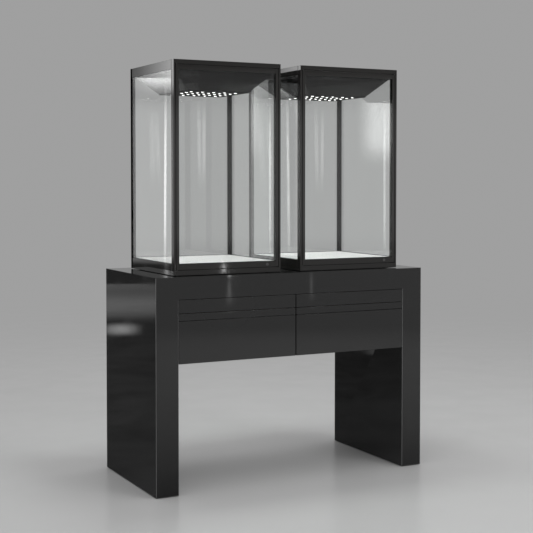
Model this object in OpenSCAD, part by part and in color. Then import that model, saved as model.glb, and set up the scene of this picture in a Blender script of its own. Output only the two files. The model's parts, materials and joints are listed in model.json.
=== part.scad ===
// Display console: a slab-legged table with four drawers that carries two tall glazed
// showcases. Millimetres, +Z up. The origin is on the floor under the console's centre,
// +X runs to the viewer's right and the doors and drawers face -Y.

/* [Console] */
// Overall width of the console
table_w = 1290; // [1240:10:1500]
// Overall depth of the console
table_d = 600; // [580:10:700]
// Height of the top face above the floor
table_h = 900; // [860:10:1000]
// Thickness of the two slab legs
leg_t = 100; // [60:5:110]
// Thickness of the top slab
top_t = 92; // [60:2:110]
// Height of the glides under the legs
glide_h = 2; // [1:0.5:6]
// Thickness of the carcass boards
board_t = 16; // [12:1:18]

/* [Drawers] */
// Height taken by the upper drawer fronts
upper_row_h = 58; // [54:1:80]
// Height of the fixed strip between the two rows
strip_h = 31; // [26:1:50]
// Height taken by the lower drawer fronts
lower_row_h = 176; // [150:2:220]
// Thickness of the drawer fronts
front_t = 20; // [16:1:24]
// Reveal beside and above a front
reveal = 2; // [1:0.5:3]
// Width of the reveal down the console's centre
centre_reveal = 4; // [3:0.5:6]
// Depth of the drawer boxes
box_d = 490; // [400:10:490]
// Thickness of the drawer box walls
wall_t = 12; // [9:1:15]

/* [Glass cases] */
// Width of one case
case_w = 495; // [440:5:540]
// Depth of one case
case_d = 500; // [440:5:540]
// Height of one case above its feet
case_h = 890; // [600:10:1200]
// Distance between the two cases' centres
case_pitch = 592; // [560:2:640]
// Height of the feet under a case
foot_h = 2; // [1:0.5:6]
// Height of the side and back rails at the base
base_h = 48; // [40:1:60]
// Height of the side and back rails at the top
crown_h = 40; // [36:1:60]
// Thickness of those rails and of the back posts
rail_t = 20; // [16:1:24]
// Height of the front sill under the door
sill_h = 21; // [18:1:26]
// Height of the front header over the door
header_h = 18; // [14:1:24]
// Width of a front post
post_w = 8; // [7:0.5:10]
// Depth of a front post
post_d = 28; // [28:1:34]
// Thickness of the glass panes
glass_t = 6; // [4:1:8]

/* [Doors] */
// Thickness of a door's frame
door_t = 20; // [18:1:20]
// Gap round a door
door_gap = 2.5; // [2.5:0.1:3]
// Width of a door's stiles
stile_w = 13; // [11:1:20]
// Height of a door's top rail
door_top_h = 21; // [16:1:26]
// Height of a door's bottom rail
door_bottom_h = 24; // [22:1:30]
// Radius of the pivot pins
pivot_r = 2.5; // [2:0.1:2.6]
// Distance of the lock from a case's left side
lock_x = 430; // [300:5:440]

/* [Light hood] */
// Width of the hood's rim under the roof
hood_w = 450; // [400:2:450]
// Width of the lamp plate at the hood's lower end
plate_w = 294; // [260:2:340]
// Height of the hood from rim to lamp plate
hood_drop = 77; // [60:1:110]
// Lamps along one side of the array
lamp_count = 5; // [3:1:5]
// Distance between lamps
lamp_pitch = 52; // [46:1:54]
// Width of one lamp's square lens
lens_w = 20; // [14:1:24]

/* [Hidden] */
$fn = 48;
seam = 0.2;
cut = 1;
// Console levels and faces
table_front = -table_d / 2;
leg_in = table_w / 2 - leg_t;
top_under = table_h - top_t;
strip_top = top_under - upper_row_h;
strip_low = strip_top - strip_h;
apron_low = strip_low - lower_row_h;
front_back = table_front + front_t;
setback = 5;
back_t = 12;
skin_t = 18;
rib_w = 40;
leg_cells = 3;
back_y = table_d / 2 - back_t - 4;
shelf_top = strip_top - 7;
shelf_low = shelf_top - board_t;
// Drawers: a box hangs between runners 13 mm thick
runner_w = 13;
box_in = board_t / 2 + runner_w;
box_out = leg_in - runner_w;
box_front = front_back;
upper_box_z = shelf_top + 9;
upper_box_h = 40;
upper_runner_h = 30;
lower_box_z = apron_low + board_t + 6;
lower_box_h = 135;
lower_runner_h = 45;
bottom_t = 6;
upper_z = upper_box_z + upper_box_h / 2;
lower_z = lower_box_z + lower_box_h / 2;
upper_low = strip_top + reveal / 2;
upper_high = top_under - reveal;
lower_high = strip_low - reveal / 2;
runner_t = 1.5;
runner_play = 1;
runner_lip = 8;
middle_inset = 20;
// Glides, supplies, leads and inlet
glide_r = 18;
glide_inset = 28;
supply_size = [130, 62, 42];
supply_z = shelf_top + 2;
lead_r = 3;
lead_hole_r = 6;
lead_y = 224;
inlet_x = -90;
inlet_z = 780;
inlet_w = 48;
inlet_h = 28;
inlet_depth = 24;
// Case levels, measured from a case's own front left lower corner
case_front = -case_d / 2;
case_z = table_h + foot_h;
crown_z = case_h - crown_h;
header_z = case_h - header_h;
foot_r = 10;
foot_inset = 40;
deck_t = 6;
pan_t = 2;
pan_z = 3;
bearer_w = 20;
stop_t = 5;
seal_t = 2;
seal_w = 8;
glass_inset = 1;
// Doors
door_left = post_w + door_gap;
door_right = case_w - door_left;
door_low = sill_h + door_gap;
door_top = header_z - door_gap;
pivot_inset = 4;
pivot_reach = 10;
pivot_play = 0.05;
lock_r = 6;
lock_z = door_low + door_bottom_h / 2;
lock_depth = 12;
lock_play = 0.05;
cam_t = 3;
cam_w = 8;
cam_reach = 20;
cam_slot = 0.4;
key_slot = [1.2, 3, 6.5];
// Light hood
hood_y = (post_d + case_d - rail_t) / 2;
sheet_t = 2;
flange_t = 6;
flange_gap = 0.3;
plate_t = 3;
lens_gap = 0.8;
lens_h = 8;
lens_drop = 1;
board_w = 276;
pcb_t = 1.6;
roof_t = 2;
roof_z = case_h - 4;
screw_r = 1.5;
screw_head_r = 3.2;
screw_head_h = 1.6;
screw_len = 12;

// ---------- helpers ----------

// A rectangular block from its lowest to its highest corner
module block(low, high) {
    translate(low)
        cube(high - low);
}

// A profile drawn in X and Z, extruded over the console's whole depth
module through_depth(points) {
    translate([0, table_d / 2, 0])
        rotate([90, 0, 0])
            linear_extrude(table_d)
                polygon(points);
}

// Children drawn for the right side, mirrored for the left one
module on_side(side) {
    if (side > 0)
        children();
    else
        mirror([1, 0, 0])
            children();
}

// Children drawn from a case's own corner, moved to the left (-1) or right (1) case
module in_case(side) {
    translate([side * case_pitch / 2 - case_w / 2, case_front, case_z])
        children();
}

// Children in both cases
module in_both_cases() {
    for (side = [-1, 1])
        in_case(side)
            children();
}

// Children at x and at its mirror place in a case
module both_sides_of_case() {
    children();
    translate([case_w, 0, 0])
        mirror([1, 0, 0])
            children();
}

// A channel along Y that opens towards +X, with lips of the given length
module channel(low_y, high_y, half_h, lip) {
    block([0, low_y, -half_h], [runner_t, high_y, half_h]);
    for (z = [-half_h, half_h - runner_t])
        block([0, low_y, z], [lip, high_y, z + runner_t]);
}

// ---------- console ----------

// One closed cell inside a slab, given by its limits in X and Z
module cell(low, high) {
    inside = table_d / 2 - skin_t;
    block([low[0], -inside, low[1]], [high[0], inside, high[1]]);
}

// The top and the legs are box-built boards: skins and edges round hollow cells, with
// solid ribs where the lamp leads pass
module table_top() {
    spans = [
        [rib_w / 2, case_pitch / 2 - rib_w / 2],
        [case_pitch / 2 + rib_w / 2, leg_in - skin_t]
    ];
    color("#1b1b1c")
        difference() {
            through_depth([
                [-table_w / 2, table_h],
                [table_w / 2, table_h],
                [leg_in, top_under],
                [-leg_in, top_under]
            ]);
            for (side = [-1, 1])
                on_side(side) {
                    for (span = spans)
                        cell([span[0], top_under + skin_t], [span[1], table_h - skin_t]);
                    translate([case_pitch / 2, lead_y, top_under - cut])
                        cylinder(r = lead_hole_r, h = top_t + 2 * cut);
                }
        }
}

module slab_leg(side) {
    step = (top_under - glide_h - skin_t) / leg_cells;
    color("#1b1b1c")
        on_side(side)
            difference() {
                through_depth([
                    [leg_in, glide_h],
                    [table_w / 2, glide_h],
                    [table_w / 2, table_h],
                    [leg_in, top_under]
                ]);
                for (i = [0 : leg_cells - 1])
                    cell([leg_in + skin_t, glide_h + skin_t + i * step],
                         [table_w / 2 - skin_t, glide_h + (i + 1) * step]);
            }
}

module carcass_floor() {
    color("#262627")
        block([-leg_in, front_back + setback, apron_low],
              [leg_in, back_y, apron_low + board_t]);
}

module carcass_back() {
    color("#262627")
        difference() {
            block([-leg_in, back_y, apron_low], [leg_in, back_y + back_t, top_under]);
            translate([inlet_x, back_y + back_t / 2, inlet_z])
                cube([inlet_w + seam, back_t + 2 * cut, inlet_h + seam], center = true);
        }
}

module carcass_partition() {
    color("#262627") {
        block([-board_t / 2, front_back + setback, apron_low + board_t],
              [board_t / 2, back_y, shelf_low]);
        block([-board_t / 2, front_back + setback, shelf_low + seam],
              [board_t / 2, back_y, top_under]);
    }
}

module dust_shelves() {
    color("#262627")
        for (side = [-1, 1])
            on_side(side)
                block([board_t / 2, front_back, shelf_low], [leg_in, back_y, shelf_top]);
}

module front_strips() {
    color("#343435")
        for (side = [-1, 1])
            on_side(side)
                block([centre_reveal / 2, table_front, strip_low + reveal / 2],
                      [leg_in - reveal / 2, front_back, strip_top - reveal / 2]);
}

module floor_glides() {
    color("#4a4a4a")
        for (side = [-1, 1], inner = [0, 1], end = [-1, 1])
            translate([
                side * (table_w / 2 - glide_inset - inner * (leg_t - 2 * glide_inset)),
                end * (table_d / 2 - glide_inset), 0
            ])
                cylinder(r = glide_r, h = glide_h);
}

module power_supplies() {
    color("silver")
        for (side = [-1, 1])
            translate([
                side * case_pitch / 2 - supply_size.x / 2,
                back_y - supply_size.y, supply_z
            ])
                cube(supply_size);
}

module supply_leads() {
    color("black")
        for (side = [-1, 1])
            translate([side * case_pitch / 2, lead_y, supply_z + supply_size.z])
                cylinder(r = lead_r, h = case_z + pan_z + pan_t - supply_z - supply_size.z);
}

// Panel inlet with a recess and three blades, open to the rear
module mains_inlet() {
    recess = [inlet_w - 16, inlet_depth - 6, inlet_h - 8];
    blade = [2, 14, 5];
    rear = back_y + back_t;
    color("#202020")
        translate([inlet_x, rear, inlet_z]) {
            difference() {
                union() {
                    block([-inlet_w / 2, -inlet_depth, -inlet_h / 2],
                          [inlet_w / 2, 0, inlet_h / 2]);
                    block([-inlet_w / 2 - 6, 0, -inlet_h / 2 - 3],
                          [inlet_w / 2 + 6, 3, inlet_h / 2 + 3]);
                }
                block([-recess.x / 2, 3 - recess.y, -recess.z / 2],
                      [recess.x / 2, 3 + cut, recess.z / 2]);
            }
            for (at = [[-8, -3], [0, 3], [8, -3]])
                translate([at[0] - blade.x / 2, 3 - recess.y, at[1] - blade.z / 2])
                    cube(blade);
        }
}

// ---------- drawers ----------

module drawer_front(side, low, high) {
    color("#343435")
        on_side(side)
            block([centre_reveal / 2, table_front, low],
                  [leg_in - reveal / 2, front_back, high]);
}

// Box of four walls and a bottom, open at the top
module drawer_box(side, low, box_h) {
    back = box_front + box_d;
    color("#8d8d8a")
        on_side(side) {
            for (x = [box_in, box_out - wall_t])
                block([x, box_front, low], [x + wall_t, back, low + box_h]);
            for (y = [box_front, back - wall_t])
                block([box_in + wall_t + seam, y, low],
                      [box_out - wall_t - seam, y + wall_t, low + box_h]);
            block([box_in + wall_t + seam, box_front + wall_t + seam, low],
                  [box_out - wall_t - seam, back - wall_t - seam, low + bottom_t]);
        }
}

// Children drawn against a face at x = 0 that looks towards +X, set on both of the
// carcass's faces beside a drawer
module on_both_faces(side, z) {
    on_side(side) {
        translate([board_t / 2, 0, z])
            children();
        translate([leg_in, 0, z])
            mirror([1, 0, 0])
                children();
    }
}

module runner_outers() {
    low_y = box_front + setback;
    color("silver")
        for (side = [-1, 1]) {
            on_both_faces(side, upper_z)
                channel(low_y, box_front + box_d, upper_runner_h / 2, runner_lip);
            on_both_faces(side, lower_z)
                channel(low_y, box_front + box_d, lower_runner_h / 2, runner_lip);
        }
}

module runner_middles(side, z, runner_h) {
    step = runner_t + runner_play;
    color("gainsboro")
        on_both_faces(side, z)
            translate([step, 0, 0])
                channel(box_front + middle_inset, box_front + box_d - middle_inset,
                        runner_h / 2 - step, runner_lip);
}

// The inner member faces the other way, with its web on the drawer's side
module runner_inners(side, z, runner_h) {
    step = 2 * (runner_t + runner_play);
    color("silver")
        on_both_faces(side, z)
            translate([runner_w, 0, 0])
                mirror([1, 0, 0])
                    channel(box_front + setback, box_front + box_d,
                            runner_h / 2 - step, runner_w - step - runner_t);
}

// ---------- case frames ----------

module base_frame(side) {
    color("#3b3937")
        in_case(side) {
            both_sides_of_case()
                block([0, post_d + seam, 0], [rail_t, case_d - rail_t - seam, base_h]);
            block([rail_t + seam, case_d - rail_t, 0],
                  [case_w - rail_t - seam, case_d, base_h]);
            difference() {
                block([post_w + seam, 0, 0], [case_w - post_w - seam, post_d, sill_h]);
                block([lock_x - cam_w / 2 - cut, lock_depth - cam_slot,
                       lock_z - cam_reach - cut],
                      [lock_x + cam_w * 2, lock_depth + cam_t + cam_slot, sill_h + cut]);
                pivot_hole(sill_h - pivot_reach, pivot_reach + cut);
            }
        }
}

module corner_posts(side) {
    color("#3b3937")
        in_case(side)
            both_sides_of_case() {
                block([0, 0, 0], [post_w, post_d, case_h]);
                block([0, case_d - rail_t, 0], [rail_t, case_d, case_h]);
            }
}

module top_frame(side) {
    color("#3b3937")
        in_case(side) {
            both_sides_of_case()
                block([0, post_d + seam, crown_z],
                      [rail_t, case_d - rail_t - seam, case_h]);
            block([rail_t + seam, case_d - rail_t, crown_z],
                  [case_w - rail_t - seam, case_d, case_h]);
            difference() {
                block([post_w + seam, 0, header_z],
                      [case_w - post_w - seam, post_d, case_h]);
                pivot_hole(header_z - cut, pivot_reach + cut);
            }
        }
}

// Bars behind the door's edges that carry the seal
module door_stops() {
    color("#2a2928")
        in_both_cases() {
            both_sides_of_case()
                block([post_w, post_d - stop_t, sill_h],
                      [post_w + stile_w, post_d, header_z]);
            inner = post_w + stile_w + seam;
            for (span = [[sill_h, base_h], [crown_z, header_z]])
                block([inner, post_d - stop_t, span[0]],
                      [case_w - inner, post_d, span[1]]);
        }
}

module door_seals() {
    low_y = post_d - stop_t - seal_t;
    side_x = post_w + (stile_w - seal_w) / 2;
    inner = side_x + seal_w + seam;
    color("black")
        in_both_cases() {
            both_sides_of_case()
                block([side_x, low_y, sill_h + door_gap],
                      [side_x + seal_w, low_y + seal_t, header_z - door_gap]);
            for (z = [base_h - seal_w - cut, crown_z + cut])
                block([inner, low_y, z], [case_w - inner, low_y + seal_t, z + seal_w]);
        }
}

module case_feet() {
    color("black")
        in_both_cases()
            for (x = [foot_inset, case_w - foot_inset], y = [foot_inset, case_d - foot_inset])
                translate([x, y, -foot_h])
                    cylinder(r = foot_r, h = foot_h + pan_z);
}

// Sheet floor of the case with three bars that carry the deck
module base_pans() {
    color("dimgray")
        in_both_cases() {
            difference() {
                block([rail_t, post_d, pan_z], [case_w - rail_t, case_d - rail_t, pan_z + pan_t]);
                translate([case_w / 2, lead_y - case_front, pan_z - cut])
                    cylinder(r = lead_r + seam, h = pan_t + 2 * cut);
            }
            for (x = [rail_t + bearer_w, (case_w - bearer_w) / 2, case_w - rail_t - 2 * bearer_w])
                block([x, post_d + bearer_w, pan_z + pan_t + seam],
                      [x + bearer_w, case_d - rail_t - bearer_w, base_h - deck_t]);
        }
}

module display_deck(side) {
    color("white")
        in_case(side)
            block([rail_t + flange_gap, post_d + flange_gap, base_h - deck_t],
                  [case_w - rail_t - flange_gap, case_d - rail_t - flange_gap, base_h]);
}

module side_panes(side) {
    color("#c8d8d4", 0.3)
        in_case(side)
            both_sides_of_case()
                block([glass_inset, post_d, base_h],
                      [glass_inset + glass_t, case_d - rail_t, crown_z]);
}

module back_pane(side) {
    far = case_d - glass_inset;
    color("#c8d8d4", 0.3)
        in_case(side)
            block([rail_t, far - glass_t, base_h], [case_w - rail_t, far, crown_z]);
}

module roof_panels() {
    color("#2a2928")
        in_both_cases()
            difference() {
                block([rail_t, post_d, roof_z], [case_w - rail_t, case_d - rail_t, roof_z + roof_t]);
                at_screws()
                    cylinder(r = screw_r + seam, h = roof_t + 2 * cut);
            }
}

// Children at each roof screw's place, just under the roof panel
module at_screws() {
    edge = rail_t + flange_gap + flange_t / 2;
    for (x = [edge, case_w - edge], y = [100, case_d / 2, case_d - 80])
        translate([x, y, roof_z - cut])
            children();
}

module roof_screws() {
    color("silver")
        in_both_cases()
            at_screws()
                translate([0, 0, cut]) {
                    translate([0, 0, roof_t])
                        cylinder(r = screw_head_r, h = screw_head_h);
                    translate([0, 0, roof_t - screw_len])
                        cylinder(r = screw_r, h = screw_len);
                }
}

// ---------- light hood ----------

// A square spire that narrows downwards, its rim at z = 0
module spire(inset) {
    rim = hood_w - 2 * inset;
    foot = plate_w - 2 * inset;
    mirror([0, 0, 1])
        linear_extrude(hood_drop, scale = foot / rim)
            square(rim, center = true);
}

// Four sloping sheets, and the upright flange that they hang from
module light_hood(side) {
    inner_x = rail_t + flange_gap;
    inner_y = post_d + flange_gap;
    far_y = case_d - rail_t - flange_gap;
    color("#222223")
        in_case(side) {
            translate([case_w / 2, hood_y, crown_z])
                difference() {
                    spire(0);
                    spire(sheet_t);
                    for (turn = [45, 135])
                        rotate([0, 0, turn])
                            translate([0, 0, -hood_drop / 2])
                                cube([2 * hood_w, seam, hood_drop + 2 * cut], center = true);
                }
            difference() {
                both_sides_of_case()
                    block([inner_x, inner_y, crown_z + seam],
                          [inner_x + flange_t, far_y, roof_z]);
                at_screws()
                    translate([0, 0, -screw_len])
                        cylinder(r = screw_r + 0.02, h = screw_len + 2 * cut);
            }
            for (y = [inner_y, far_y - flange_t])
                block([inner_x + flange_t + seam, y, crown_z + seam],
                      [case_w - inner_x - flange_t - seam, y + flange_t, roof_z]);
        }
}

// Children at every lamp's centre, at the lamp plate's level
module at_lamps() {
    half = (lamp_count - 1) / 2;
    for (row = [-half : half], column = [-half : half])
        translate([
            case_w / 2 + column * lamp_pitch, hood_y + row * lamp_pitch,
            crown_z - hood_drop - plate_t
        ])
            children();
}

module lamp_plate(side) {
    opening = lens_w + 2 * lens_gap;
    color("#151515")
        in_case(side)
            difference() {
                translate([case_w / 2 - plate_w / 2, hood_y - plate_w / 2,
                           crown_z - hood_drop - plate_t])
                    cube([plate_w, plate_w, plate_t]);
                at_lamps()
                    translate([-opening / 2, -opening / 2, -cut])
                        cube([opening, opening, plate_t + 2 * cut]);
            }
}

module lamp_lenses() {
    color("white")
        in_both_cases()
            at_lamps()
                translate([-lens_w / 2, -lens_w / 2, -lens_drop])
                    cube([lens_w, lens_w, lens_h]);
}

module lamp_boards() {
    color("green")
        in_both_cases()
            translate([(case_w - board_w) / 2, hood_y - board_w / 2,
                       crown_z - hood_drop - plate_t - lens_drop + lens_h])
                cube([board_w, board_w, pcb_t]);
}

// ---------- doors ----------

// Drill for the pivot pins on the door's hinge line
module pivot_hole(z, depth) {
    translate([door_left + pivot_inset, pivot_inset, z])
        cylinder(r = pivot_r + pivot_play, h = depth);
}

// One pin at the sill and one at the header
module door_pivots() {
    reach = 2 * pivot_reach + door_gap;
    color("silver")
        in_both_cases()
            for (z = [sill_h - pivot_reach, header_z + pivot_reach - reach])
                translate([door_left + pivot_inset, pivot_inset, z])
                    cylinder(r = pivot_r, h = reach);
}

module door_frame(side) {
    rail_left = door_left + stile_w + seam;
    rail_right = door_right - stile_w - seam;
    color("#3b3937")
        in_case(side) {
            difference() {
                block([door_left, 0, door_low], [door_left + stile_w, door_t, door_top]);
                pivot_hole(door_low - cut, pivot_reach + 2 * cut);
                pivot_hole(door_top - pivot_reach - cut, pivot_reach + 2 * cut);
            }
            block([door_right - stile_w, 0, door_low], [door_right, door_t, door_top]);
            block([rail_left, 0, door_top - door_top_h], [rail_right, door_t, door_top]);
            difference() {
                block([rail_left, 0, door_low], [rail_right, door_t, door_low + door_bottom_h]);
                translate([lock_x, -cut, lock_z])
                    rotate([-90, 0, 0])
                        cylinder(r = lock_r + lock_play, h = lock_depth + cut);
                block([lock_x - cam_w / 2 - cut, lock_depth - cam_slot, door_low - cut],
                      [lock_x + cam_reach + cut, lock_depth + cam_t + cam_slot,
                       lock_z + cam_w / 2 + cut]);
            }
        }
}

module door_glass(side) {
    color("#c8d8d4", 0.3)
        in_case(side)
            block([door_left + stile_w, (door_t - glass_t) / 2, door_low + door_bottom_h],
                  [door_right - stile_w, (door_t + glass_t) / 2, door_top - door_top_h]);
}

// Barrel with a key slot, and a cam that turns down into the sill
module door_lock(side) {
    proud = 0.6;
    color("silver")
        in_case(side)
            translate([lock_x, 0, lock_z]) {
                difference() {
                    translate([0, -proud, 0])
                        rotate([-90, 0, 0])
                            cylinder(r = lock_r, h = lock_depth + proud);
                    block([-key_slot.x / 2, -proud - cut, -key_slot.z / 2],
                          [key_slot.x / 2, key_slot.y, key_slot.z / 2]);
                }
                translate([0, lock_depth, 0])
                    rotate([-90, 0, 0])
                        cylinder(r = cam_w / 2, h = cam_t);
                block([0, lock_depth, -cam_w / 2],
                      [cam_reach, lock_depth + cam_t, cam_w / 2]);
            }
}

// ---------- nodes ----------

table_top();
slab_leg(-1);  // leg_left
slab_leg(1);  // leg_right
carcass_floor();
carcass_back();
carcass_partition();
dust_shelves();
front_strips();
runner_outers();
floor_glides();
power_supplies();
supply_leads();
mains_inlet();

drawer_front(-1, upper_low, upper_high);  // upper_left_front
drawer_box(-1, upper_box_z, upper_box_h);  // upper_left_box
runner_inners(-1, upper_z, upper_runner_h);  // upper_left_runner_inners
runner_middles(-1, upper_z, upper_runner_h);  // upper_left_runner_middles
drawer_front(1, upper_low, upper_high);  // upper_right_front
drawer_box(1, upper_box_z, upper_box_h);  // upper_right_box
runner_inners(1, upper_z, upper_runner_h);  // upper_right_runner_inners
runner_middles(1, upper_z, upper_runner_h);  // upper_right_runner_middles
drawer_front(-1, apron_low, lower_high);  // lower_left_front
drawer_box(-1, lower_box_z, lower_box_h);  // lower_left_box
runner_inners(-1, lower_z, lower_runner_h);  // lower_left_runner_inners
runner_middles(-1, lower_z, lower_runner_h);  // lower_left_runner_middles
drawer_front(1, apron_low, lower_high);  // lower_right_front
drawer_box(1, lower_box_z, lower_box_h);  // lower_right_box
runner_inners(1, lower_z, lower_runner_h);  // lower_right_runner_inners
runner_middles(1, lower_z, lower_runner_h);  // lower_right_runner_middles

case_feet();
base_pans();
door_stops();
door_seals();
door_pivots();
roof_panels();
roof_screws();
lamp_boards();
lamp_lenses();

base_frame(-1);  // left_base_frame
corner_posts(-1);  // left_corner_posts
top_frame(-1);  // left_top_frame
side_panes(-1);  // left_side_panes
back_pane(-1);  // left_back_pane
light_hood(-1);  // left_light_hood
lamp_plate(-1);  // left_lamp_plate
display_deck(-1);  // left_display_deck
door_frame(-1);  // left_door_frame
door_glass(-1);  // left_door_glass
door_lock(-1);  // left_door_lock
base_frame(1);  // right_base_frame
corner_posts(1);  // right_corner_posts
top_frame(1);  // right_top_frame
side_panes(1);  // right_side_panes
back_pane(1);  // right_back_pane
light_hood(1);  // right_light_hood
lamp_plate(1);  // right_lamp_plate
display_deck(1);  // right_display_deck
door_frame(1);  // right_door_frame
door_glass(1);  // right_door_glass
door_lock(1);  // right_door_lock
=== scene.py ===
"""Looks of a gloss black display console that carries two tall glazed showcases.

Every part is a copy of its CAD node with softened edges and a procedural finish, apart from the
lamp lenses, which are drawn again as domes. Nothing moves or resizes the frame.
"""

import json
import math

import bmesh
import bpy
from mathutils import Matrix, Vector

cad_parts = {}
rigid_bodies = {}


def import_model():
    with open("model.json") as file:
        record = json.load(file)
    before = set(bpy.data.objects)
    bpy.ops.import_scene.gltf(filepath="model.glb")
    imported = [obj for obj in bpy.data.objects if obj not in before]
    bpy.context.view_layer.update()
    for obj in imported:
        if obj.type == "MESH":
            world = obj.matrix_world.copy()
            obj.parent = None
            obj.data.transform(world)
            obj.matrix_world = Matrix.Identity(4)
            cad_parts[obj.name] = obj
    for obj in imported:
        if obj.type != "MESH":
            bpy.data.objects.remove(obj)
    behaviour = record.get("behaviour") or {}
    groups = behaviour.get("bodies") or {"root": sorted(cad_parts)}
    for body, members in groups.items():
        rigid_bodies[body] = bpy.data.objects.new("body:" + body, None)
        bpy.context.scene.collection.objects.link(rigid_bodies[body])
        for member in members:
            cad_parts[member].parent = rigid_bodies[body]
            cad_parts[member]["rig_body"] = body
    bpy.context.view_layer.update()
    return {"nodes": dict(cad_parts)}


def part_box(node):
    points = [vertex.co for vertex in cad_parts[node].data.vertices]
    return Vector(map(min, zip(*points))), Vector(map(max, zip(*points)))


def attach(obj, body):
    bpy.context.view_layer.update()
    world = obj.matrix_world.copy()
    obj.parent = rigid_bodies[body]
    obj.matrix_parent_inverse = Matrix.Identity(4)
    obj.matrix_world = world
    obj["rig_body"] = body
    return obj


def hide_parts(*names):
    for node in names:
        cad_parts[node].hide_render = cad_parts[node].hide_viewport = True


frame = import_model()

SIDES = ("left", "right")
ROWS = ("upper", "lower")

# The backdrop's tone as scene-linear light, and the floor, which melts into it between two radii
BACKDROP_TONE = 0.35
FLOOR_COLOUR = (0.66, 0.66, 0.66, 1)
FLOOR_RADIUS = 10.0
FLOOR_FADES_FROM = 2.5
FLOOR_FADES_OUT = 8.0

# The dark cloth behind the object: its middle, and the radii between which it fades
FLAG_PLACE = (-1.6, 3.4, 0.002)
FLAG_DARK_TO = 2.6
FLAG_FADES_OUT = 6.5

# How wide the reflectors shine
NARROW_BEAM = math.radians(40)
WIDE_BEAM = math.radians(80)

# The width of the square light of each case's lamps, and how far it hangs under their plate
ARRAY_SIZE = 0.26
ARRAY_GAP = 0.01

# Edges that turn by more than the first are rounded, by less than the second are dissolved, and
# by more than the third are shaded sharp
ROUNDED_ANGLE = math.radians(30)
FLAT_ANGLE = math.radians(0.6)
CREASE_ANGLE = math.radians(48)

# Decimal places of a metre to which corners are told apart
WELD_PLACES = 6

# How much slimmer a lock barrel is made, as a share of its radius, and shorter, in metres, and
# the shares of its radius between which its own corners lie, and not its cam's
BARREL_PLAY = 0.015
END_PLAY = 0.0001
BARREL_WALL = (0.8, 1.05)

# A lamp lens: points round its outline, rings up its dome, the dome's drop in metres, and the
# power of its rounded-square outline
LENS_POINTS = 32
LENS_RINGS = 6
LENS_DROP = 0.0035
LENS_POWER = 6


# ---------------------------------------------------------------- materials


def grey(value, warm=0.0):
    """A neutral colour, a little warmer than grey where warm is above 0."""
    return (value * (1 + warm), value, value * (1 - warm), 1)


class Nodes:
    """Adds nodes to the node tree of a material, a lamp or the world."""

    def __init__(self, owner):
        owner.use_nodes = True
        self.tree = owner.node_tree

    def add(self, kind, **settings):
        node = self.tree.nodes.new(kind)
        for name, value in settings.items():
            setattr(node, name, value)
        return node

    def feed(self, socket, value):
        """Gives a socket a constant or another node's output."""
        if isinstance(value, bpy.types.NodeSocket):
            self.tree.links.new(value, socket)
        else:
            socket.default_value = value

    def math(self, operation, *values):
        node = self.add("ShaderNodeMath", operation=operation)
        for socket, value in zip(node.inputs, values):
            self.feed(socket, value)
        return node.outputs["Value"]

    def spread(self, value, low, high, start=0.3, end=0.7):
        """The value's range from start to end, laid smoothly onto low to high."""
        node = self.add("ShaderNodeMapRange", interpolation_type="SMOOTHSTEP")
        self.feed(node.inputs["Value"], value)
        self.feed(node.inputs["From Min"], start)
        self.feed(node.inputs["From Max"], end)
        self.feed(node.inputs["To Min"], low)
        self.feed(node.inputs["To Max"], high)
        return node.outputs["Result"]

    def if_mirrored(self, strength):
        """The strength for a ray that a glossy surface has mirrored, and 0 for any other ray."""
        path = self.add("ShaderNodeLightPath")
        mirrored = self.math("GREATER_THAN", path.outputs["Glossy Depth"], 0.5)
        return self.math("MULTIPLY", strength, mirrored)


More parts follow.
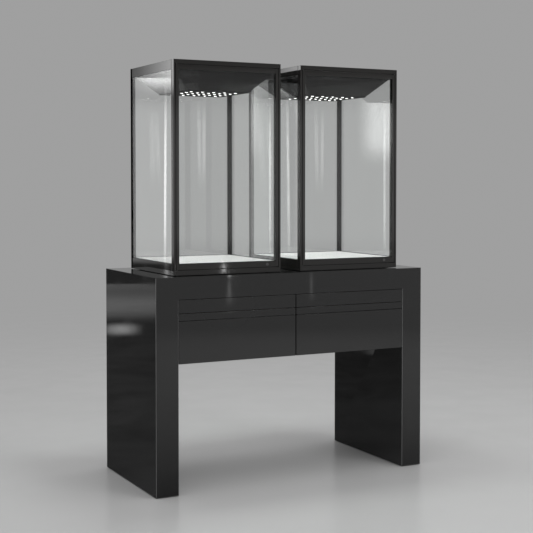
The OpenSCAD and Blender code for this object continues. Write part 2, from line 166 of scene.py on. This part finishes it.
class Finish(Nodes):
    """A Principled material with procedural colour, gloss and relief."""

    def __init__(self, name, **sockets):
        self.material = bpy.data.materials.new(name)
        super().__init__(self.material)
        self.shader = self.tree.nodes["Principled BSDF"]
        self.place = self.add("ShaderNodeTexCoord").outputs["Object"]
        self.normal = None
        for socket, value in sockets.items():
            self.feed(self.shader.inputs[socket.replace("_", " ")], value)

    def stretched(self, stretch):
        """The rest-place coordinates, squeezed along each axis by a factor."""
        mapping = self.add("ShaderNodeMapping")
        self.feed(mapping.inputs["Scale"], stretch)
        self.feed(mapping.inputs["Vector"], self.place)
        return mapping.outputs["Vector"]

    def noise(self, scale, detail=2.0, stretch=None, distortion=0.0):
        """Noise from 0 to 1. Scale is in waves per metre."""
        node = self.add("ShaderNodeTexNoise")
        self.feed(node.inputs["Scale"], scale)
        self.feed(node.inputs["Detail"], detail)
        self.feed(node.inputs["Distortion"], distortion)
        self.feed(node.inputs["Vector"], self.stretched(stretch) if stretch else self.place)
        return node.outputs["Fac"]

    def distance(self):
        """How far a place is from the object's origin."""
        node = self.add("ShaderNodeVectorMath", operation="LENGTH")
        self.feed(node.inputs[0], self.place)
        return node.outputs["Value"]

    def blend(self, share, first, second):
        """A colour from first to second. Either may be a colour or another node's output."""
        node = self.add("ShaderNodeMix", data_type="RGBA")
        factor, colour_a, colour_b = node.inputs["Factor"], node.inputs[6], node.inputs[7]
        for socket, value in ((factor, share), (colour_a, first), (colour_b, second)):
            self.feed(socket, value)
        return node.outputs[2]

    def colour(self, output):
        self.feed(self.shader.inputs["Base Color"], output)

    def gloss(self, output):
        self.feed(self.shader.inputs["Roughness"], output)

    def relief(self, height, depth):
        """Adds a bump whose height from 0 to 1 stands for depth metres."""
        bump = self.add("ShaderNodeBump")
        self.feed(bump.inputs["Strength"], 1.0)
        self.feed(bump.inputs["Distance"], depth)
        self.feed(bump.inputs["Height"], height)
        if self.normal is not None:
            self.feed(bump.inputs["Normal"], self.normal)
        self.normal = bump.outputs["Normal"]
        self.feed(self.shader.inputs["Normal"], self.normal)

    def give_way(self, share, shader):
        """Mixes another shader into the surface by a share."""
        mix = self.add("ShaderNodeMixShader")
        self.feed(mix.inputs["Fac"], share)
        self.feed(mix.inputs[1], self.shader.outputs["BSDF"])
        self.feed(mix.inputs[2], shader)
        self.feed(self.tree.nodes["Material Output"].inputs["Surface"], mix.outputs["Shader"])


def lacquer(name, tone, low_gloss, high_gloss, specular):
    """Sprayed and polished black lacquer: faint orange peel, long waves, smudges and hairlines."""
    finish = Finish(name, Specular_IOR_Level=specular)
    clouds = finish.noise(2.4, 3)
    finish.colour(finish.blend(clouds, grey(tone * 0.92), grey(tone * 1.08)))
    smudges = finish.spread(finish.noise(7, 4, distortion=0.6), low_gloss, high_gloss, 0.4, 0.75)
    hairlines = finish.spread(finish.noise(30, 2, (1, 1, 26)), 0, 0.03, 0.66, 0.8)
    finish.gloss(finish.math("ADD", smudges, hairlines))
    finish.relief(finish.noise(5, 1), 0.0001)
    finish.relief(finish.noise(260, 1), 0.000002)
    return finish.material


def anodised(name, tone, warm, low_gloss, high_gloss, specular):
    """Dark bronze aluminium, polished before it was anodised, with a fine speckle."""
    finish = Finish(name, Specular_IOR_Level=specular)
    batch = finish.noise(3, 2)
    speckle = finish.noise(1500, 2)
    cloudy = finish.blend(batch, grey(tone * 0.95, warm), grey(tone * 1.05, warm))
    finish.colour(finish.blend(finish.spread(speckle, 0, 0.25), cloudy, grey(tone * 1.4, warm)))
    clouds = finish.noise(9, 3, distortion=0.4)
    finish.gloss(finish.spread(clouds, low_gloss, high_gloss, 0.35, 0.7))
    finish.relief(finish.noise(700, 1), 0.000002)
    return finish.material


def melamine(name, tone):
    """Board faced with melamine that has a fine pearl."""
    finish = Finish(name)
    pearl = finish.noise(420, 3)
    finish.colour(finish.blend(finish.noise(6, 3), grey(tone * 0.85), grey(tone * 1.15)))
    finish.gloss(finish.spread(pearl, 0.42, 0.6))
    finish.relief(pearl, 0.00006)
    return finish.material


def wood(name, tone, warm, grain_axis):
    """Board faced with wood that has its grain along one axis."""
    finish = Finish(name)
    stretch = tuple(1.0 if axis == grain_axis else 14.0 for axis in range(3))
    grain = finish.noise(4, 6, stretch, distortion=0.8)
    pores = finish.noise(26, 3, stretch)
    dark, light = grey(tone * 0.78, warm * 1.3), grey(tone, warm)
    streaky = finish.blend(finish.spread(grain, 0, 1), dark, light)
    porous = finish.spread(pores, 0, 0.5, 0.58, 0.75)
    finish.colour(finish.blend(porous, streaky, grey(tone * 0.5, warm * 1.6)))
    finish.gloss(finish.spread(grain, 0.38, 0.52))
    finish.relief(pores, 0.00008)
    return finish.material


def clear_glass(name, specular):
    """Float glass: clear, slightly green, with faint wiping marks. Lamps shine through it."""
    finish = Finish(name, Transmission_Weight=1.0, IOR=1.5, Specular_IOR_Level=specular)
    finish.colour((0.975, 0.985, 0.98, 1))
    wipes = finish.noise(5, 3, (1, 1, 0.35), distortion=1.2)
    finish.gloss(finish.spread(wipes, 0.0, 0.012, 0.45, 0.8))
    finish.relief(finish.noise(7, 1, (1, 1, 0.25)), 0.00001)
    see_through = finish.add("ShaderNodeBsdfTransparent")
    finish.feed(see_through.inputs["Color"], (0.9, 0.93, 0.915, 1))
    shadow_ray = finish.add("ShaderNodeLightPath").outputs["Is Shadow Ray"]
    finish.give_way(shadow_ray, see_through.outputs["BSDF"])
    return finish.material


def bonded_edge(name):
    """The ground edge of a pane against the black sealant in its frame, faintly green."""
    finish = Finish(name)
    grinding = finish.noise(900, 2, (1, 1, 0.05))
    finish.colour(finish.blend(grinding, (0.006, 0.012, 0.009, 1), (0.02, 0.032, 0.027, 1)))
    finish.gloss(finish.spread(grinding, 0.3, 0.5))
    finish.relief(grinding, 0.00003)
    return finish.material


def laminate(name):
    """White display deck with a very faint straight grain."""
    finish = Finish(name)
    lines = finish.noise(16, 4, (16, 0.5, 1))
    dull, bright = (0.77, 0.77, 0.76, 1), (0.83, 0.83, 0.825, 1)
    finish.colour(finish.blend(finish.spread(lines, 0, 1), dull, bright))
    finish.gloss(finish.spread(finish.noise(240, 2), 0.34, 0.46))
    finish.relief(lines, 0.00003)
    return finish.material


def metal(name, tone, warm, low_gloss, high_gloss, stretch=None):
    """Plain steel or chrome, with rolling or turning marks."""
    finish = Finish(name, Metallic=1.0)
    marks = finish.noise(500, 3, stretch)
    finish.colour(finish.blend(finish.noise(12, 3), grey(tone * 0.88, warm), grey(tone, warm)))
    finish.gloss(finish.spread(marks, low_gloss, high_gloss))
    finish.relief(marks, 0.00001)
    return finish.material


def moulded(name, tone, warm, low_gloss, high_gloss, specular=0.5):
    """Moulded plastic or rubber with a fine spark-eroded texture."""
    finish = Finish(name, Specular_IOR_Level=specular)
    texture = finish.noise(1100, 2)
    finish.colour(finish.blend(finish.noise(14, 3), grey(tone * 0.85, warm), grey(tone * 1.15, warm)))
    finish.gloss(finish.spread(finish.noise(30, 3), low_gloss, high_gloss))
    finish.relief(texture, 0.00003)
    return finish.material


def lit_lens(name, strength):
    """A lamp lens that glows, with faint facets that tint its light a little."""
    finish = Finish(name, Roughness=0.2, Emission_Strength=strength)
    facets = finish.noise(400, 1)
    finish.colour(finish.blend(facets, grey(0.7), grey(0.85)))
    tint = finish.blend(facets, (1, 0.98, 0.96, 1), (1, 1, 1, 1))
    finish.feed(finish.shader.inputs["Emission Color"], tint)
    finish.relief(facets, 0.0001)
    return finish.material


def circuit_board(name):
    """White-masked lamp board with faint copper tracks under the mask."""
    finish = Finish(name)
    tracks = finish.spread(finish.noise(90, 0, (1, 6, 1)), 0, 1, 0.5, 0.54)
    finish.colour(finish.blend(tracks, grey(0.62), grey(0.74)))
    finish.gloss(finish.spread(finish.noise(300, 2), 0.25, 0.4))
    finish.relief(tracks, 0.00004)
    return finish.material


MATERIALS = {
    "console_lacquer": lacquer("console_lacquer", 0.017, 0.03, 0.07, 0.65),
    "front_lacquer": lacquer("front_lacquer", 0.018, 0.04, 0.08, 0.63),
    "carcass_board": melamine("carcass_board", 0.035),
    "drawer_board": wood("drawer_board", 0.55, 0.3, grain_axis=0),
    "frame_bronze": anodised("frame_bronze", 0.018, 0.05, 0.035, 0.07, 0.6),
    "case_glass": clear_glass("case_glass", 0.6),
    "hood_gloss": lacquer("hood_gloss", 0.002, 0.06, 0.12, 0.2),
    "lamp_plate_black": moulded("lamp_plate_black", 0.003, 0.0, 0.7, 0.9, specular=0.02),
    "lamp_lens": lit_lens("lamp_lens", 4.0),
    "lamp_board": circuit_board("lamp_board"),
    "deck_white": laminate("deck_white"),
    "seal_rubber": moulded("seal_rubber", 0.012, 0.0, 0.5, 0.7),
    "foot_rubber": moulded("foot_rubber", 0.02, 0.0, 0.55, 0.75),
    "glide_nylon": moulded("glide_nylon", 0.35, 0.03, 0.35, 0.5),
    "pivot_steel": metal("pivot_steel", 0.12, 0.0, 0.25, 0.4),
    "lock_chrome": metal("lock_chrome", 0.16, 0.0, 0.12, 0.25),
    "pan_steel": metal("pan_steel", 0.12, 0.02, 0.35, 0.5, (1, 8, 1)),
    "runner_steel": metal("runner_steel", 0.5, 0.01, 0.22, 0.38, (1, 8, 8)),
    "supply_case": moulded("supply_case", 0.5, 0.0, 0.4, 0.55),
    "lead_sheath": moulded("lead_sheath", 0.02, 0.0, 0.4, 0.6),
    "inlet_plastic": moulded("inlet_plastic", 0.015, 0.0, 0.35, 0.5),
}
DOOR_GLASS = clear_glass("door_glass_coated", 0.2)
PANE_EDGE = bonded_edge("pane_edge")
# Painted highlight: the console's rounded edges get a lacquer about ten times lighter than its faces,
# for the light that they catch
PAINTED_EDGE_HIGHLIGHT = lacquer("painted_edge_highlight", 0.16, 0.3, 0.4, 1.0)
# Painted shade: a near-black copy of the frame bronze for the back posts' upright faces, which stand
# in shade
PAINTED_SHADE_POST = anodised("painted_shade_post", 0.0015, 0.0, 0.3, 0.4, 0.0)


# ---------------------------------------------------------------- pieces from CAD nodes


def solids(node):
    """The separate closed solids of a CAD node, each as a list of triangles of corner places.

    A solid is complete when each edge has met its partner that runs the other way.
    """
    mesh = frame["nodes"][node].data
    mesh.calc_loop_triangles()
    found, current, open_edges = [], [], set()
    for triangle in mesh.loop_triangles:
        places = [mesh.vertices[v].co for v in triangle.vertices]
        corners = [tuple(round(c, WELD_PLACES) for c in place) for place in places]
        if len(set(corners)) < 3:
            continue
        current.append(corners)
        for start, end in zip(corners, corners[1:] + corners[:1]):
            if (end, start) in open_edges:
                open_edges.remove((end, start))
            else:
                open_edges.add((start, end))
        if not open_edges:
            found.append(current)
            current = []
    if current:
        found.append(current)
    return found


def solid_mesh(triangles, radius, segments, joined=None):
    """A bmesh of one solid, its flat faces whole and its sharp edges rounded to radius.

    An edge stays sharp where joined says that both its ends lie in a joint that was lacquered over.
    """
    solid = bmesh.new()
    corners = {}
    for triangle in triangles:
        for place in triangle:
            if place not in corners:
                corners[place] = solid.verts.new(place)
        solid.faces.new([corners[place] for place in triangle])
    bmesh.ops.dissolve_limit(
        solid, angle_limit=FLAT_ANGLE, verts=solid.verts, edges=solid.edges, delimit={"NORMAL"}
    )
    sharp = [e for e in solid.edges if e.is_manifold and e.calc_face_angle(0) > ROUNDED_ANGLE]
    if joined:
        sharp = [e for e in sharp if not all(joined(corner.co) for corner in e.verts)]
    if radius and sharp:
        bmesh.ops.bevel(
            solid,
            geom=sharp,
            offset=radius,
            segments=segments,
            profile=0.5,
            affect="EDGES",
            clamp_overlap=True,
        )
    return solid


def piece(name, body, materials, build):
    """A new piece riding on a body. build fills its bmesh."""
    shape = bmesh.new()
    build(shape)
    mesh = bpy.data.meshes.new(name)
    shape.to_mesh(mesh)
    shape.free()
    mesh.shade_smooth()
    mesh.set_sharp_from_angle(angle=CREASE_ANGLE)
    for material in materials:
        mesh.materials.append(material)
    made = bpy.data.objects.new(name, mesh)
    bpy.context.scene.collection.objects.link(made)
    weighted = made.modifiers.new("even_normals", "WEIGHTED_NORMAL")
    weighted.keep_sharp = True
    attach(made, body)
    return made


def append(shape, part):
    """Adds one bmesh to another and frees it."""
    mesh = bpy.data.meshes.new("part")
    part.to_mesh(mesh)
    part.free()
    shape.from_mesh(mesh)
    bpy.data.meshes.remove(mesh)


def softened(node, slot, radius, segments=2, joined=None):
    """A copy of a CAD node with rounded edges, which stands for it."""

    def build(shape):
        for triangles in solids(node):
            append(shape, solid_mesh(triangles, radius, segments, joined))

    body = frame["nodes"][node]["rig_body"]
    made = piece(node + "_finished", body, [MATERIALS[slot]], build)
    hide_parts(node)
    return made


def pane(node, thin_axis, glass=MATERIALS["case_glass"]):
    """Panes of a CAD node: clear faces, bonded edges and a fine arris all round."""
    made = softened(node, "case_glass", 0.0006, 1)
    made.data.materials[0] = glass
    made.data.materials.append(PANE_EDGE)
    for face in made.data.polygons:
        if abs(face.normal[thin_axis]) < 0.9:
            face.material_index = 1


def corner_posts(node):
    """The four posts of a case. The back pair has painted shade: its upright faces are made dull
    black.
    """
    made = softened(node, "frame_bronze", 0.0006)
    made.data.materials.append(PAINTED_SHADE_POST)
    for face in made.data.polygons:
        if face.center.y > 0 and abs(face.normal.z) < 0.5:
            face.material_index = 1


def lock_barrel(node):
    """A door lock, its barrel a hair slimmer and shorter, so that it clears its bore."""
    made = softened(node, "lock_chrome", 0.0003)
    low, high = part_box(node)
    radius = (high.z - low.z) / 2
    axis = Vector((low.x + radius, 0, low.z + radius))
    for corner in made.data.vertices:
        away = Vector((corner.co.x, 0, corner.co.z)) - axis
        if BARREL_WALL[0] < away.length / radius < BARREL_WALL[1]:
            corner.co -= away * BARREL_PLAY
            if corner.co.y > (low.y + high.y) / 2:
                corner.co.y -= END_PLAY


def lens_outline(reach, share):
    """The places round one ring of a lens, square with soft corners at the rim, round within."""
    # About how far past a circle the outline's corners reach
    corner_swell = math.sqrt(2) ** 0.66
    places = []
    for k in range(LENS_POINTS):
        angle = 2 * math.pi * (k + 0.5) / LENS_POINTS
        cosine, sine = math.cos(angle), math.sin(angle)
        square = (abs(cosine) ** LENS_POWER + abs(sine) ** LENS_POWER) ** (-1 / LENS_POWER)
        across = reach * share * (1 + (square / corner_swell - 1) * share)
        across = min(across, reach / max(abs(cosine), abs(sine)))
        places.append((across * cosine, across * sine))
    return places


def lens(shape, low, high):
    """Adds a domed square lens that hangs down between two corners of its box."""
    centre = (low + high) / 2
    reach = (high.x - low.x) / 2
    shares = [k / LENS_RINGS for k in range(1, LENS_RINGS + 1)]
    levels = [(share, low.z + LENS_DROP * share**2) for share in shares] + [(1.0, high.z)]
    tip = shape.verts.new((centre.x, centre.y, low.z))
    top = shape.verts.new((centre.x, centre.y, high.z))
    rings = []
    for share, height in levels:
        outline = lens_outline(reach, share)
        rings.append([shape.verts.new((centre.x + x, centre.y + y, height)) for x, y in outline])
    for k in range(LENS_POINTS):
        after = (k + 1) % LENS_POINTS
        shape.faces.new((tip, rings[0][after], rings[0][k]))
        for lower, upper in zip(rings, rings[1:]):
            shape.faces.new((lower[k], lower[after], upper[after], upper[k]))
        shape.faces.new((top, rings[-1][k], rings[-1][after]))


def lamp_lenses():
    """Every lamp lens, domed, at the place of its CAD solid."""

    def build(shape):
        for triangles in solids("lamp_lenses"):
            places = [Vector(place) for triangle in triangles for place in triangle]
            low = Vector(map(min, *places))
            high = Vector(map(max, *places))
            lens(shape, low, high)

    made = piece("lamp_lenses_domed", "console", [MATERIALS["lamp_lens"]], build)
    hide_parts("lamp_lenses")


def in_mitre(place):
    """True for a place in the mitre between the console's top and a leg, which shows no seam."""
    top_low, top_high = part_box("table_top")
    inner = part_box("leg_right")[0].x
    across = (abs(place.x) - inner) / (top_high.x - inner)
    up = (place.z - top_low.z) / (top_high.z - top_low.z)
    return abs(across - up) < 0.001


def slab(node):
    """A console slab, its rounded edges given a painted highlight: a lighter colour than its faces,
    with a duller and stronger gloss.
    """
    made = softened(node, "console_lacquer", 0.0018, 3, in_mitre)
    made.data.materials.append(PAINTED_EDGE_HIGHLIGHT)
    for face in made.data.polygons:
        on_rounded_edge = max(map(abs, face.normal)) < 0.99
        # the painted highlight goes onto every rounded edge outside the mitres
        if on_rounded_edge and not in_mitre(face.center):
            face.material_index = 1


def furnish_console():
    for node in ("table_top", "leg_left", "leg_right"):
        slab(node)
    softened("front_strips", "front_lacquer", 0.0008)
    for node in ("carcass_floor", "carcass_back", "carcass_partition", "dust_shelves"):
        softened(node, "carcass_board", 0.0007)
    softened("runner_outers", "runner_steel", 0.0003, 1)
    softened("floor_glides", "glide_nylon", 0.0005)
    softened("power_supplies", "supply_case", 0.003, 3)
    softened("supply_leads", "lead_sheath", 0)
    softened("mains_inlet", "inlet_plastic", 0.0004)


def furnish_drawers():
    for row in ROWS:
        for side in SIDES:
            drawer = f"{row}_{side}"
            softened(drawer + "_front", "front_lacquer", 0.001, 3)
            softened(drawer + "_box", "drawer_board", 0.0012)
            softened(drawer + "_runner_inners", "runner_steel", 0.0003, 1)
            softened(drawer + "_runner_middles", "runner_steel", 0.0003, 1)


def furnish_cases():
    softened("case_feet", "foot_rubber", 0.0005)
    softened("base_pans", "pan_steel", 0.0003, 1)
    softened("door_stops", "frame_bronze", 0.0004)
    softened("door_seals", "seal_rubber", 0.0005)
    softened("door_pivots", "pivot_steel", 0.0003)
    softened("roof_panels", "frame_bronze", 0.0003, 1)
    softened("roof_screws", "pivot_steel", 0.0002, 1)
    softened("lamp_boards", "lamp_board", 0.0002, 1)
    lamp_lenses()
    for side in SIDES:
        for part in ("base_frame", "top_frame", "door_frame"):
            softened(f"{side}_{part}", "frame_bronze", 0.0006)
        corner_posts(f"{side}_corner_posts")
        pane(f"{side}_side_panes", 0)
        pane(f"{side}_back_pane", 1)
        pane(f"{side}_door_glass", 1, DOOR_GLASS)
        softened(f"{side}_light_hood", "hood_gloss", 0.0003, 1)
        softened(f"{side}_lamp_plate", "lamp_plate_black", 0.0003, 1)
        softened(f"{side}_display_deck", "deck_white", 0.0008)
        lock_barrel(f"{side}_door_lock")


furnish_console()
furnish_drawers()
furnish_cases()


# ---------------------------------------------------------------- stage, light and camera


def disc(name, radius, points, finish):
    """A flat round piece of the stage, at the origin."""
    mesh = bpy.data.meshes.new(name)
    shape = bmesh.new()
    bmesh.ops.create_circle(shape, cap_ends=True, segments=points, radius=radius)
    shape.to_mesh(mesh)
    shape.free()
    mesh.materials.append(finish.material)
    made = bpy.data.objects.new(name, mesh)
    bpy.context.scene.collection.objects.link(made)
    return made


def studio_floor():
    """A round pale floor that melts into the backdrop's tone towards its rim."""
    finish = Finish("studio_floor", Base_Color=FLOOR_COLOUR, Specular_IOR_Level=0.2)
    finish.gloss(finish.spread(finish.noise(3, 2), 0.2, 0.27))
    backdrop = finish.add("ShaderNodeEmission")
    finish.feed(backdrop.inputs["Color"], grey(BACKDROP_TONE))
    faded = finish.spread(finish.distance(), 0, 1, FLOOR_FADES_FROM, FLOOR_FADES_OUT)
    finish.give_way(faded, backdrop.outputs["Emission"])
    disc("studio_floor", FLOOR_RADIUS, 128, finish)


def black_flag():
    """A dark cloth flat on the floor behind the object. It shows only in reflections from above,
    as a photographer darkens the ends of a black object."""
    finish = Finish("black_flag", Roughness=1.0, Specular_IOR_Level=0.0)
    cloth = finish.noise(2.5, 3, distortion=0.8)
    finish.colour(finish.blend(cloth, grey(0.02), grey(0.2)))
    faded = finish.spread(finish.distance(), 0, 1, FLAG_DARK_TO, FLAG_FADES_OUT)
    underside = finish.add("ShaderNodeNewGeometry").outputs["Backfacing"]
    clear = finish.add("ShaderNodeBsdfTransparent").outputs["BSDF"]
    finish.give_way(finish.math("ADD", faded, underside), clear)
    flag = disc("black_flag", FLAG_FADES_OUT, 64, finish)
    flag.location = FLAG_PLACE
    for kind in ("camera", "diffuse", "transmission", "volume_scatter", "shadow"):
        setattr(flag, "visible_" + kind, False)


class Sky(Nodes):
    """The studio round the object: an even tone, lighter overhead. Reflections also show the
    broad light and dark patches, which stand for the studio's cards."""

    def __init__(self):
        world = bpy.data.worlds.new("studio")
        bpy.context.scene.world = world
        super().__init__(world)
        self.background = self.tree.nodes["Background"]
        self.feed(self.background.inputs["Color"], grey(1.0))
        split = self.add("ShaderNodeSeparateXYZ")
        self.feed(split.inputs["Vector"], self.add("ShaderNodeTexCoord").outputs["Generated"])
        self.azimuth = self.math("ARCTAN2", split.outputs["X"], split.outputs["Y"])
        self.elevation = self.math("ARCSINE", split.outputs["Z"])
        self.level = BACKDROP_TONE
        self.cards = 0.0

    def lighter_above(self, start, end, gain):
        """Adds light that grows from one elevation to another, in degrees."""
        rise = self.spread(self.elevation, 0, gain, math.radians(start), math.radians(end))
        self.level = self.math("ADD", rise, self.level)

    def patch(self, azimuth, half_width, lower, upper, soft, gain):
        """Adds a soft-edged card, light or dark by its gain. All else is in degrees."""
        azimuth, half_width, lower, upper, soft = map(
            math.radians, (azimuth, half_width, lower, upper, soft)
        )
        aside = self.math("ABSOLUTE", self.math("SUBTRACT", self.azimuth, azimuth))
        across = self.spread(aside, gain, 0, half_width, half_width + 3 * soft)
        over = self.spread(self.elevation, 0, 1, lower, lower + soft)
        under = self.spread(self.elevation, 1, 0, upper, upper + 6 * soft)
        shape = self.math("MULTIPLY", across, self.math("MULTIPLY", over, under))
        self.cards = self.math("ADD", shape, self.cards)

    def finish(self):
        strength = self.math("ADD", self.if_mirrored(self.cards), self.level)
        self.feed(self.background.inputs["Strength"], strength)


def area_light(name, centre, target, size, radiance):
    """A rectangular lamp of that brightness, which neither the camera nor glass shows."""
    lamp = bpy.data.lights.new(name, "AREA")
    lamp.shape = "RECTANGLE"
    lamp.size, lamp.size_y = size
    lamp.energy = radiance * math.pi * lamp.size * lamp.size_y
    box = bpy.data.objects.new(name, lamp)
    bpy.context.scene.collection.objects.link(box)
    box.location = centre
    box.rotation_euler = (Vector(target) - Vector(centre)).to_track_quat("-Z", "Y").to_euler()
    box.visible_camera = False
    box.visible_transmission = False
    return box


def reflector(name, centre, target, size, radiance, edges, beam=math.pi):
    """A soft-edged lamp that only shows in reflections and lights nothing.

    It fades from the middle to the rim over the two edges, which are shares of its width and
    height. A beam below a half turn hides it from elsewhere and keeps its brightness along its
    axis.
    """
    box = area_light(name, centre, target, size, radiance)
    box.visible_transmission = True
    box.visible_diffuse = False
    if beam < math.pi:
        box.data.spread = beam
        box.data.energy *= 1 - beam / 2 / math.tan(beam / 2)
    nodes = Nodes(box.data)
    split = nodes.add("ShaderNodeSeparateXYZ")
    nodes.feed(split.inputs["Vector"], nodes.add("ShaderNodeNewGeometry").outputs["Parametric"])
    fades = []
    for axis, edge in zip("XY", edges):
        from_middle = nodes.math("ABSOLUTE", nodes.math("SUBTRACT", split.outputs[axis], 0.5))
        fades.append(nodes.spread(from_middle, 1, 0, 0.5 - edge, 0.5))
    strength = nodes.if_mirrored(nodes.math("MULTIPLY", *fades))
    nodes.feed(nodes.tree.nodes["Emission"].inputs["Strength"], strength)


def strip(name, foot, low, high, width, radiance):
    """A narrow upright reflector that fades at both ends."""
    middle = (low + high) / 2
    reflector(name, (*foot, middle), (0, 0, middle), (width, high - low), radiance, (0.3, 0.4))


def light_studio():
    sky = Sky()
    sky.lighter_above(15, 75, 0.3)
    # Behind the camera to its right: a light band with a dark one above, for the fronts
    sky.patch(153, 30, -3.5, 1.5, 1.0, 0.35)
    sky.patch(153, 30, 3.0, 14, 1.0, -0.2)
    # Behind the object to its left: a light band over a dark one, for the left leg's side
    sky.patch(-30, 18, -3.8, 3, 0.25, 0.25)
    sky.patch(-30, 18, -8, -4.05, 0.05, -0.3)
    sky.finish()

    area_light("overhead", (0, -0.4, 4.6), (0, 0, 0), (4.2, 4.2), 0.9)
    fill = area_light("front_fill", (2.2, -4.6, 2.0), (0, 0, 0.9), (2.2, 2.2), 3.6)
    fill.visible_glossy = False

    # A broad window, mirrored in the left case's side
    case = (-0.4, 0, 1.8)
    window_edges = (0.28, 0.09)
    reflector("back_left", (-3.2, 4.04, 2.88), case, (2.6, 1.8), 4.0, window_edges, WIDE_BEAM)
    # Glows in the right case's side pane and in the left case's hood
    pane = (0.54, -0.1, 1.64)
    hood = (-0.48, 0, 1.7)
    even = (0.35, 0.35)
    reflector("pane_glow", (-0.31, 1.15, 1.64), pane, (0.34, 0.54), 2.7, even, NARROW_BEAM)
    reflector("hood_glow", (-0.86, 3.4, 0.42), hood, (0.44, 0.3), 7.4, (0.42, 0.3), NARROW_BEAM)
    # A broad and a small glow, mirrored in the left leg's side
    leg = (-0.645, 0, 0.5)
    reflector("low_glow", (-2.1, 3.7, 0.33), leg, (2.2, 0.26), 0.45, (0.3, 0.45), NARROW_BEAM)
    oval = (0.45, 0.45)
    reflector("low_streak", (-1.95, 3.7, 0.165), leg, (0.36, 0.12), 1.15, oval, NARROW_BEAM)
    # Sheen for other views, and lines of light along the upper edges
    reflector("far_left", (-4.6, -2.2, 1.4), (0, 0, 1.0), (1.6, 2.6), 1.0, (0.2, 0.2))
    reflector("edge_light", (1.9, -0.6, 4.4), (0, -0.3, 0.9), (1.4, 1.4), 8.0, (0.3, 0.3))
    # Upright streaks, mirrored in the side panes, the sill, the drawer fronts and the doors
    strip("back_left_strip", (-2.42, 4.42), 0.4, 2.2, 0.03, 3.2)
    strip("sill_strip", (1.43, -4.0), 0.54, 0.68, 0.018, 16.0)
    strip("apron_strip", (1.43, -4.0), 0.3, 0.58, 0.03, 1.3)
    strip("right_apron_strip", (2.15, -4.0), 0.3, 0.62, 0.02, 0.9)
    strip("left_door_strip", (1.26, -4.0), 1.2, 1.95, 0.035, 2.6)
    strip("right_door_strip", (2.3, -4.0), 1.15, 1.95, 0.035, 2.2)

    for side in SIDES:
        low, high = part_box(f"{side}_lamp_plate")
        middle = (low + high) / 2
        below = Vector((middle.x, middle.y, low.z - ARRAY_GAP))
        straight_down = below - Vector((0, 0, 1))
        array = area_light(f"{side}_lamps", below, straight_down, (ARRAY_SIZE, ARRAY_SIZE), 20.0)
        array.visible_glossy = False


def photo_camera():
    """The camera that the straight edges in the photo give."""
    data = bpy.data.cameras.new("camera")
    data.sensor_width = 36.0
    data.lens = 79.062
    data.shift_y = -0.0837
    camera = bpy.data.objects.new("camera", data)
    camera.location = (-2.3923, -4.6996, 1.2925)
    camera.rotation_euler = (math.radians(88.0), 0.0, math.radians(-27.0861))
    bpy.context.scene.collection.objects.link(camera)
    bpy.context.scene.camera = camera


studio_floor()
black_flag()
light_studio()
photo_camera()
bpy.context.scene.view_settings.view_transform = "Standard"
